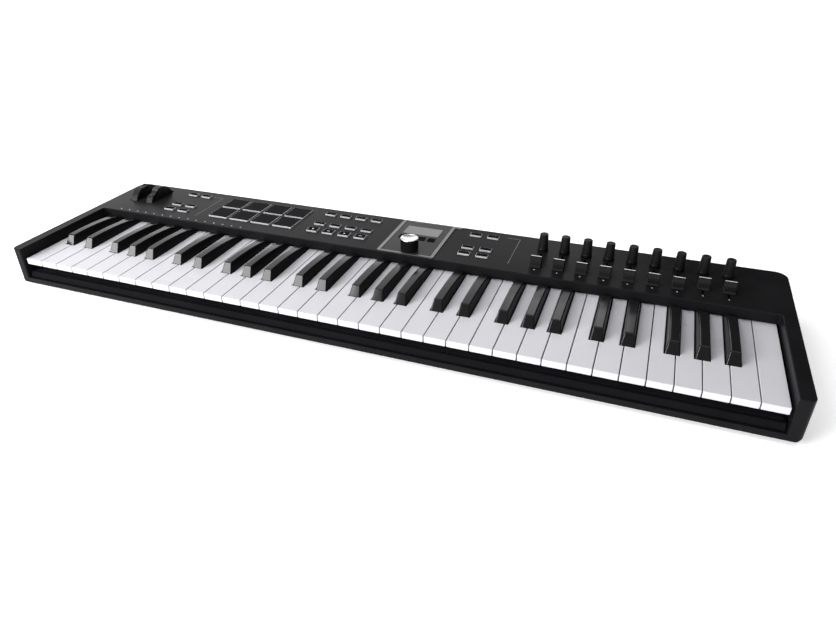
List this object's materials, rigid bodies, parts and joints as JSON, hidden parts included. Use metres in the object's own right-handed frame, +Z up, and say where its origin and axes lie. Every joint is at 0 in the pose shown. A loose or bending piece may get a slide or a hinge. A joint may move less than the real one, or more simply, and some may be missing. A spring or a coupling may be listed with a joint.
{
  "type": "keyboard synthesizer",
  "caption": "Slim full-size keyboard synthesizer with a raised control panel: wheels, pads, buttons, screen, main encoder, tall knobs and faders.",
  "frame": {"origin": "middle of the surface that the feet stand on, under the middle of the whole instrument", "axes": "+X to the player's right along the keys, +Y from the keys to the back, +Z up"},
  "size_m": [0.88, 0.243, 0.0708],
  "materials": {
    "case_plastic": "fine-textured charcoal moulding",
    "base_plastic": "dark moulded bottom",
    "ivory_keys": "smooth white key plastic",
    "ebony_keys": "polished black key plastic",
    "circuit_board": "green solder mask",
    "chassis_plastic": "plain black moulding",
    "centre_plate": "mid-grey satin plate",
    "trim_silver": "silver-grey satin rim",
    "screen_glass": "flat display window, unlit",
    "foot_rubber": "matt rubber",
    "button_silicone": "translucent grey-white silicone",
    "cap_black": "matt black cap",
    "pad_rubber": "smooth matt pad",
    "control_plastic": "black satin control",
    "control_rubber": "soft matt black grip",
    "steel": "bright steel",
    "bright_metal": "turned bright metal",
    "print_white": "printed light marks",
    "felt_black": "black felt strip"
  },
  "bodies": {
    "case": {"upper_case": "case_plastic", "lower_case": "base_plastic", "foot_front_left": "foot_rubber", "foot_front_right": "foot_rubber", "foot_rear_left": "foot_rubber", "foot_rear_right": "foot_rubber", "keybed_chassis": "chassis_plastic", "key_contact_board": "circuit_board", "panel_board": "circuit_board", "connector_board": "chassis_plastic", "centre_panel": "centre_plate", "screen": "screen_glass", "wheel_bracket": "chassis_plastic"},
    "white_keys_octave_1": {"white_keys_octave_1": "ivory_keys"},
    "black_keys_octave_1": {"black_keys_octave_1": "ebony_keys"},
    "white_keys_octave_2": {"white_keys_octave_2": "ivory_keys"},
    "black_keys_octave_2": {"black_keys_octave_2": "ebony_keys"},
    "key_c": {"key_c": "ivory_keys"},
    "key_c_sharp": {"key_c_sharp": "ebony_keys"},
    "key_d": {"key_d": "ivory_keys"},
    "key_d_sharp": {"key_d_sharp": "ebony_keys"},
    "key_e": {"key_e": "ivory_keys"},
    "key_f": {"key_f": "ivory_keys"},
    "key_f_sharp": {"key_f_sharp": "ebony_keys"},
    "key_g": {"key_g": "ivory_keys"},
    "key_g_sharp": {"key_g_sharp": "ebony_keys"},
    "key_a": {"key_a": "ivory_keys"},
    "key_a_sharp": {"key_a_sharp": "ebony_keys"},
    "key_b": {"key_b": "ivory_keys"},
    "white_keys_octave_4": {"white_keys_octave_4": "ivory_keys"},
    "black_keys_octave_4": {"black_keys_octave_4": "ebony_keys"},
    "white_keys_octave_5": {"white_keys_octave_5": "ivory_keys"},
    "black_keys_octave_5": {"black_keys_octave_5": "ebony_keys"},
    "pad_mat": {"pad_mat": "pad_rubber"},
    "left_buttons": {"left_buttons": "button_silicone"},
    "transport_buttons": {"transport_buttons": "button_silicone"},
    "right_buttons": {"right_buttons": "button_silicone"},
    "context_buttons": {"context_buttons": "cap_black"},
    "encoder_shaft": {"encoder_shaft": "steel"},
    "encoder_knob": {"encoder_knob": "control_plastic"},
    "pitch_wheel": {"pitch_wheel": "control_rubber"},
    "mod_wheel": {"mod_wheel": "control_rubber"},
    "knob_1": {"knob_1": "control_plastic"},
    "fader_1": {"fader_1": "control_plastic"},
    "knob_2": {"knob_2": "control_plastic"},
    "fader_2": {"fader_2": "control_plastic"},
    "knob_3": {"knob_3": "control_plastic"},
    "fader_3": {"fader_3": "control_plastic"},
    "knob_4": {"knob_4": "control_plastic"},
    "fader_4": {"fader_4": "control_plastic"},
    "knob_5": {"knob_5": "control_plastic"},
    "fader_5": {"fader_5": "control_plastic"},
    "knob_6": {"knob_6": "control_plastic"},
    "fader_6": {"fader_6": "control_plastic"},
    "knob_7": {"knob_7": "control_plastic"},
    "fader_7": {"fader_7": "control_plastic"},
    "knob_8": {"knob_8": "control_plastic"},
    "fader_8": {"fader_8": "control_plastic"},
    "knob_9": {"knob_9": "control_plastic"},
    "fader_9": {"fader_9": "control_plastic"}
  },
  "joints": [
    {"name": "white_keys_octave_1_press", "type": "hinge", "parent": "case", "child": "white_keys_octave_1", "pos_m": [0, 0.042, 0.031], "axis": [1, 0, 0], "range_deg": [0, 3.58], "stiffness_Nm_per_rad": 12.6, "springref_deg": -2.86},
    {"name": "black_keys_octave_1_press", "type": "hinge", "parent": "case", "child": "black_keys_octave_1", "pos_m": [0, 0.042, 0.031], "axis": [1, 0, 0], "range_deg": [0, 3.58], "stiffness_Nm_per_rad": 9, "springref_deg": -2.86},
    {"name": "white_keys_octave_2_press", "type": "hinge", "parent": "case", "child": "white_keys_octave_2", "pos_m": [0, 0.042, 0.031], "axis": [1, 0, 0], "range_deg": [0, 3.58], "stiffness_Nm_per_rad": 12.6, "springref_deg": -2.86},
    {"name": "black_keys_octave_2_press", "type": "hinge", "parent": "case", "child": "black_keys_octave_2", "pos_m": [0, 0.042, 0.031], "axis": [1, 0, 0], "range_deg": [0, 3.58], "stiffness_Nm_per_rad": 9, "springref_deg": -2.86},
    {"name": "key_c_press", "type": "hinge", "parent": "case", "child": "key_c", "pos_m": [0, 0.042, 0.031], "axis": [1, 0, 0], "range_deg": [0, 3.58], "stiffness_Nm_per_rad": 1.8, "springref_deg": -2.86},
    {"name": "key_c_sharp_press", "type": "hinge", "parent": "case", "child": "key_c_sharp", "pos_m": [0, 0.042, 0.031], "axis": [1, 0, 0], "range_deg": [0, 3.58], "stiffness_Nm_per_rad": 1.8, "springref_deg": -2.86},
    {"name": "key_d_press", "type": "hinge", "parent": "case", "child": "key_d", "pos_m": [0, 0.042, 0.031], "axis": [1, 0, 0], "range_deg": [0, 3.58], "stiffness_Nm_per_rad": 1.8, "springref_deg": -2.86},
    {"name": "key_d_sharp_press", "type": "hinge", "parent": "case", "child": "key_d_sharp", "pos_m": [0, 0.042, 0.031], "axis": [1, 0, 0], "range_deg": [0, 3.58], "stiffness_Nm_per_rad": 1.8, "springref_deg": -2.86},
    {"name": "key_e_press", "type": "hinge", "parent": "case", "child": "key_e", "pos_m": [0, 0.042, 0.031], "axis": [1, 0, 0], "range_deg": [0, 3.58], "stiffness_Nm_per_rad": 1.8, "springref_deg": -2.86},
    {"name": "key_f_press", "type": "hinge", "parent": "case", "child": "key_f", "pos_m": [0, 0.042, 0.031], "axis": [1, 0, 0], "range_deg": [0, 3.58], "stiffness_Nm_per_rad": 1.8, "springref_deg": -2.86},
    {"name": "key_f_sharp_press", "type": "hinge", "parent": "case", "child": "key_f_sharp", "pos_m": [0, 0.042, 0.031], "axis": [1, 0, 0], "range_deg": [0, 3.58], "stiffness_Nm_per_rad": 1.8, "springref_deg": -2.86},
    {"name": "key_g_press", "type": "hinge", "parent": "case", "child": "key_g", "pos_m": [0, 0.042, 0.031], "axis": [1, 0, 0], "range_deg": [0, 3.58], "stiffness_Nm_per_rad": 1.8, "springref_deg": -2.86},
    {"name": "key_g_sharp_press", "type": "hinge", "parent": "case", "child": "key_g_sharp", "pos_m": [0, 0.042, 0.031], "axis": [1, 0, 0], "range_deg": [0, 3.58], "stiffness_Nm_per_rad": 1.8, "springref_deg": -2.86},
    {"name": "key_a_press", "type": "hinge", "parent": "case", "child": "key_a", "pos_m": [0, 0.042, 0.031], "axis": [1, 0, 0], "range_deg": [0, 3.58], "stiffness_Nm_per_rad": 1.8, "springref_deg": -2.86},
    {"name": "key_a_sharp_press", "type": "hinge", "parent": "case", "child": "key_a_sharp", "pos_m": [0, 0.042, 0.031], "axis": [1, 0, 0], "range_deg": [0, 3.58], "stiffness_Nm_per_rad": 1.8, "springref_deg": -2.86},
    {"name": "key_b_press", "type": "hinge", "parent": "case", "child": "key_b", "pos_m": [0, 0.042, 0.031], "axis": [1, 0, 0], "range_deg": [0, 3.58], "stiffness_Nm_per_rad": 1.8, "springref_deg": -2.86},
    {"name": "white_keys_octave_4_press", "type": "hinge", "parent": "case", "child": "white_keys_octave_4", "pos_m": [0, 0.042, 0.031], "axis": [1, 0, 0], "range_deg": [0, 3.58], "stiffness_Nm_per_rad": 12.6, "springref_deg": -2.86},
    {"name": "black_keys_octave_4_press", "type": "hinge", "parent": "case", "child": "black_keys_octave_4", "pos_m": [0, 0.042, 0.031], "axis": [1, 0, 0], "range_deg": [0, 3.58], "stiffness_Nm_per_rad": 9, "springref_deg": -2.86},
    {"name": "white_keys_octave_5_press", "type": "hinge", "parent": "case", "child": "white_keys_octave_5", "pos_m": [0, 0.042, 0.031], "axis": [1, 0, 0], "range_deg": [0, 3.58], "stiffness_Nm_per_rad": 14.4, "springref_deg": -2.86},
    {"name": "black_keys_octave_5_press", "type": "hinge", "parent": "case", "child": "black_keys_octave_5", "pos_m": [0, 0.042, 0.031], "axis": [1, 0, 0], "range_deg": [0, 3.58], "stiffness_Nm_per_rad": 9, "springref_deg": -2.86},
    {"name": "pad_mat_press", "type": "slide", "parent": "case", "child": "pad_mat", "axis": [0, 0, -1], "range_m": [0, 0.0008], "stiffness_N_per_m": 6000, "springref_m": -0.0005},
    {"name": "left_buttons_press", "type": "slide", "parent": "case", "child": "left_buttons", "axis": [0, 0, -1], "range_m": [0, 0.0008], "stiffness_N_per_m": 3000, "springref_m": -0.0005},
    {"name": "transport_buttons_press", "type": "slide", "parent": "case", "child": "transport_buttons", "axis": [0, 0, -1], "range_m": [0, 0.0008], "stiffness_N_per_m": 5000, "springref_m": -0.0005},
    {"name": "right_buttons_press", "type": "slide", "parent": "case", "child": "right_buttons", "axis": [0, 0, -1], "range_m": [0, 0.0008], "stiffness_N_per_m": 3000, "springref_m": -0.0005},
    {"name": "context_buttons_press", "type": "slide", "parent": "case", "child": "context_buttons", "axis": [0, 0, -1], "range_m": [0, 0.0005], "stiffness_N_per_m": 2000, "springref_m": -0.0005},
    {"name": "encoder_shaft_press", "type": "slide", "parent": "case", "child": "encoder_shaft", "axis": [0, 0, -1], "range_m": [0, 0.0006], "stiffness_N_per_m": 2000, "springref_m": -0.0005},
    {"name": "encoder_turn", "type": "hinge", "parent": "encoder_shaft", "child": "encoder_knob", "pos_m": [0.0223, 0.0365, 0.058], "axis": [0, 0, 1], "continuous": true},
    {"name": "pitch_wheel_turn", "type": "hinge", "parent": "case", "child": "pitch_wheel", "pos_m": [-0.4057, 0.0822, 0.0375], "axis": [-1, 0, 0], "range_deg": [-30, 30], "stiffness_Nm_per_rad": 0.15},
    {"name": "mod_wheel_turn", "type": "hinge", "parent": "case", "child": "mod_wheel", "pos_m": [-0.3798, 0.0822, 0.0375], "axis": [-1, 0, 0], "range_deg": [0, 60]},
    {"name": "knob_1_turn", "type": "hinge", "parent": "case", "child": "knob_1", "pos_m": [0.1732, 0.0885, 0.049], "axis": [0, 0, 1], "continuous": true},
    {"name": "fader_1_slide", "type": "slide", "parent": "case", "child": "fader_1", "axis": [0, 1, 0], "range_m": [0, 0.03]},
    {"name": "knob_2_turn", "type": "hinge", "parent": "case", "child": "knob_2", "pos_m": [0.1987, 0.0885, 0.049], "axis": [0, 0, 1], "continuous": true},
    {"name": "fader_2_slide", "type": "slide", "parent": "case", "child": "fader_2", "axis": [0, 1, 0], "range_m": [0, 0.03]},
    {"name": "knob_3_turn", "type": "hinge", "parent": "case", "child": "knob_3", "pos_m": [0.2242, 0.0885, 0.049], "axis": [0, 0, 1], "continuous": true},
    {"name": "fader_3_slide", "type": "slide", "parent": "case", "child": "fader_3", "axis": [0, 1, 0], "range_m": [0, 0.03]},
    {"name": "knob_4_turn", "type": "hinge", "parent": "case", "child": "knob_4", "pos_m": [0.2497, 0.0885, 0.049], "axis": [0, 0, 1], "continuous": true},
    {"name": "fader_4_slide", "type": "slide", "parent": "case", "child": "fader_4", "axis": [0, 1, 0], "range_m": [0, 0.03]},
    {"name": "knob_5_turn", "type": "hinge", "parent": "case", "child": "knob_5", "pos_m": [0.2752, 0.0885, 0.049], "axis": [0, 0, 1], "continuous": true},
    {"name": "fader_5_slide", "type": "slide", "parent": "case", "child": "fader_5", "axis": [0, 1, 0], "range_m": [0, 0.03]},
    {"name": "knob_6_turn", "type": "hinge", "parent": "case", "child": "knob_6", "pos_m": [0.3007, 0.0885, 0.049], "axis": [0, 0, 1], "continuous": true},
    {"name": "fader_6_slide", "type": "slide", "parent": "case", "child": "fader_6", "axis": [0, 1, 0], "range_m": [0, 0.03]},
    {"name": "knob_7_turn", "type": "hinge", "parent": "case", "child": "knob_7", "pos_m": [0.3262, 0.0885, 0.049], "axis": [0, 0, 1], "continuous": true},
    {"name": "fader_7_slide", "type": "slide", "parent": "case", "child": "fader_7", "axis": [0, 1, 0], "range_m": [0, 0.03]},
    {"name": "knob_8_turn", "type": "hinge", "parent": "case", "child": "knob_8", "pos_m": [0.3517, 0.0885, 0.049], "axis": [0, 0, 1], "continuous": true},
    {"name": "fader_8_slide", "type": "slide", "parent": "case", "child": "fader_8", "axis": [0, 1, 0], "range_m": [-0.008, 0.022]},
    {"name": "knob_9_turn", "type": "hinge", "parent": "case", "child": "knob_9", "pos_m": [0.3772, 0.0885, 0.049], "axis": [0, 0, 1], "continuous": true},
    {"name": "fader_9_slide", "type": "slide", "parent": "case", "child": "fader_9", "axis": [0, 1, 0], "range_m": [-0.008, 0.022]}
  ]
}
